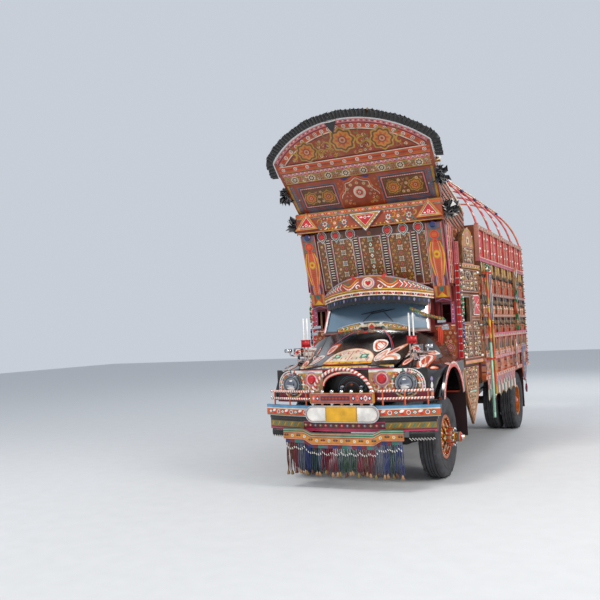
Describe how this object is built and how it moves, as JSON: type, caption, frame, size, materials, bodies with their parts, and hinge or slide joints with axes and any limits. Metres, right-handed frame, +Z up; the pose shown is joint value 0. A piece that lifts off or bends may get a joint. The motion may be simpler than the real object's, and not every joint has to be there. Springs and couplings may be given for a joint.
{
  "type": "decorated cargo truck",
  "caption": "Ornate bonneted cargo truck with a tall leaning painted crown, carved sides, fringes, twin rear wheels, opening doors, bonnet and tailgate.",
  "frame": {"origin": "on the ground at the middle of the truck's length and width", "axes": "+Z up, front of the truck towards -Y, its left side towards +X"},
  "size_m": [2.636, 6.77, 4.6975],
  "materials": {
    "frame_black": "satin",
    "cast_metal": "rough",
    "tyre": "matt",
    "wheel_orange": "gloss",
    "bumper_paint": "gloss",
    "plate_paint": "gloss",
    "tube_paint": "gloss",
    "skirt_paint": "gloss",
    "fringe_cloth": "matt",
    "nose_paint": "gloss",
    "lamp_glass": "clear",
    "red_lens": "gloss",
    "bonnet_black": "gloss",
    "cab_paint": "gloss",
    "screen_glass": "clear",
    "interior": "matt",
    "seat_cover": "woven",
    "carved_wood": "varnished",
    "crown_paint": "painted",
    "trim_cloth": "matt",
    "floor_wood": "worn",
    "side_paint": "painted",
    "hoop_paint": "gloss",
    "pole_paint": "gloss",
    "flap_rubber": "matt"
  },
  "bodies": {
    "root": {"chassis_frame": "frame_black", "engine_block": "cast_metal", "radiator": "frame_black", "driveline": "cast_metal", "front_axle": "cast_metal", "rear_axle": "cast_metal", "leaf_springs": "frame_black", "fuel_tank": "frame_black", "bumper": "bumper_paint", "plate_panel": "plate_paint", "band_box": "bumper_paint", "guard_tubes": "tube_paint", "skirt_board": "skirt_paint", "fringes": "fringe_cloth", "nose_panel": "nose_paint", "headlamps": "lamp_glass", "marker_lamps": "red_lens", "fenders": "bonnet_black", "cab_shell": "cab_paint", "windscreen": "screen_glass", "dashboard": "interior", "seat_bench": "seat_cover", "corner_boards": "crown_paint", "carved_boards": "carved_wood", "crown_panel": "crown_paint", "visor": "crown_paint", "cornice": "crown_paint", "crown_box": "crown_paint", "crown_trim": "trim_cloth", "cargo_floor": "floor_wood", "front_wall": "side_paint", "cargo_sides": "side_paint", "rear_frame": "side_paint", "roof_hoops": "hoop_paint", "roof_stringers": "hoop_paint", "poles": "pole_paint", "mudflaps": "flap_rubber", "tail_bar": "frame_black"},
    "bonnet": {"bonnet": "bonnet_black"},
    "tailgate": {"tailgate": "side_paint"},
    "door_left": {"door_left": "carved_wood"},
    "door_right": {"door_right": "carved_wood"},
    "knuckle_left": {"knuckle_left": "cast_metal"},
    "knuckle_right": {"knuckle_right": "cast_metal"},
    "wheel_front_left": {"tyre_front_left": "tyre", "wheel_front_left": "wheel_orange"},
    "wheel_front_right": {"tyre_front_right": "tyre", "wheel_front_right": "wheel_orange"},
    "wheel_rear_left": {"tyres_rear_left": "tyre", "wheels_rear_left": "wheel_orange"},
    "wheel_rear_right": {"tyres_rear_right": "tyre", "wheels_rear_right": "wheel_orange"}
  },
  "joints": [
    {"name": "steer_left", "type": "hinge", "parent": "root", "child": "knuckle_left", "pos_m": [0.77, -2.315, 0.51], "axis": [0, 0, 1], "range_deg": [-30, 30]},
    {"name": "spin_front_left", "type": "hinge", "parent": "knuckle_left", "child": "wheel_front_left", "pos_m": [0.883, -2.315, 0.51], "axis": [1, 0, 0], "continuous": true},
    {"name": "spin_rear_left", "type": "hinge", "parent": "root", "child": "wheel_rear_left", "pos_m": [0.868, 2.295, 0.51], "axis": [1, 0, 0], "continuous": true},
    {"name": "door_left_hinge", "type": "hinge", "parent": "root", "child": "door_left", "pos_m": [1.1205, -1.6137, 1.85], "axis": [0, 0, -1], "range_deg": [0, 70]},
    {"name": "steer_right", "type": "hinge", "parent": "root", "child": "knuckle_right", "pos_m": [-0.77, -2.315, 0.51], "axis": [0, 0, 1], "range_deg": [-30, 30]},
    {"name": "spin_front_right", "type": "hinge", "parent": "knuckle_right", "child": "wheel_front_right", "pos_m": [-0.883, -2.315, 0.51], "axis": [1, 0, 0], "continuous": true},
    {"name": "spin_rear_right", "type": "hinge", "parent": "root", "child": "wheel_rear_right", "pos_m": [-0.868, 2.295, 0.51], "axis": [1, 0, 0], "continuous": true},
    {"name": "door_right_hinge", "type": "hinge", "parent": "root", "child": "door_right", "pos_m": [-1.1205, -1.6137, 1.85], "axis": [0, 0, 1], "range_deg": [0, 70]},
    {"name": "bonnet_hinge", "type": "hinge", "parent": "root", "child": "bonnet", "pos_m": [0, -2.162, 1.935], "axis": [-1, 0, 0], "range_deg": [0, 50]},
    {"name": "tailgate_hinge", "type": "hinge", "parent": "root", "child": "tailgate", "pos_m": [0, 3.115, 1.155], "axis": [-1, 0, 0], "range_deg": [0, 90]}
  ],
  "couplings": [
    {"joint": "steer_right", "follows": "steer_left", "ratio": 1}
  ]
}
